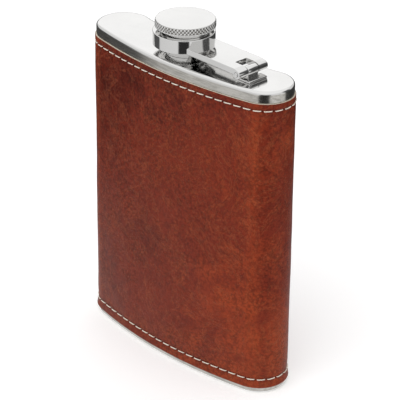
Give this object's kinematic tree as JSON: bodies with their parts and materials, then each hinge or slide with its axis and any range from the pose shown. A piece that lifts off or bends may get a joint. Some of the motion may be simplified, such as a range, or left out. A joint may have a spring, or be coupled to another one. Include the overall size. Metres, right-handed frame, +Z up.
{
  "type": "hip flask",
  "caption": "Curved steel hip flask in a stitched leather wrap, with a knurled screw cap held captive by a hinged arm.",
  "frame": {"origin": "middle of the bounding box at the base, on the surface that the flask stands on", "axes": "+Z up along the neck, -Y towards the bowed front, +Y towards the hollow side worn against the hip, +X towards the arm's hinge"},
  "size_m": [0.096, 0.026, 0.1352],
  "materials": {
    "polished_steel": "polished",
    "hinge_steel": "drawn stainless wire",
    "leather": "satin",
    "lining": "matt bonded backing",
    "needle_thread": "waxed cream thread",
    "bobbin_thread": "cream thread",
    "seal": "translucent white silicone"
  },
  "bodies": {
    "flask": {"body_shell": "polished_steel", "top_plate": "polished_steel", "bottom_plate": "polished_steel", "neck": "polished_steel", "leather_wrap": "leather", "wrap_lining": "lining", "top_needle_thread": "needle_thread", "top_bobbin_thread": "bobbin_thread", "bottom_needle_thread": "needle_thread", "bottom_bobbin_thread": "bobbin_thread", "hinge_bracket": "polished_steel", "hinge_pin": "hinge_steel"},
    "arm": {"swing_arm": "polished_steel"},
    "ring": {"cap_retaining_ring": "hinge_steel"},
    "cap": {"cap_shell": "polished_steel", "cap_insert": "polished_steel", "cap_seal": "seal"}
  },
  "joints": [
    {"name": "arm_swing", "type": "hinge", "parent": "flask", "child": "arm", "pos_m": [0.0314, -0.00003, 0.1256], "axis": [0, 1, 0], "range_deg": [0, 180]},
    {"name": "cap_rise", "type": "slide", "parent": "arm", "child": "ring", "axis": [0, 0, 1], "range_m": [0, 0.0033]},
    {"name": "cap_turn", "type": "hinge", "parent": "ring", "child": "cap", "pos_m": [-0.0018, -0.00003, 0.13], "axis": [0, 0, 1], "range_deg": [0, 540]}
  ],
  "couplings": [
    {"joint": "cap_rise", "follows": "cap_turn", "m_per_rad": 0.00035014}
  ]
}
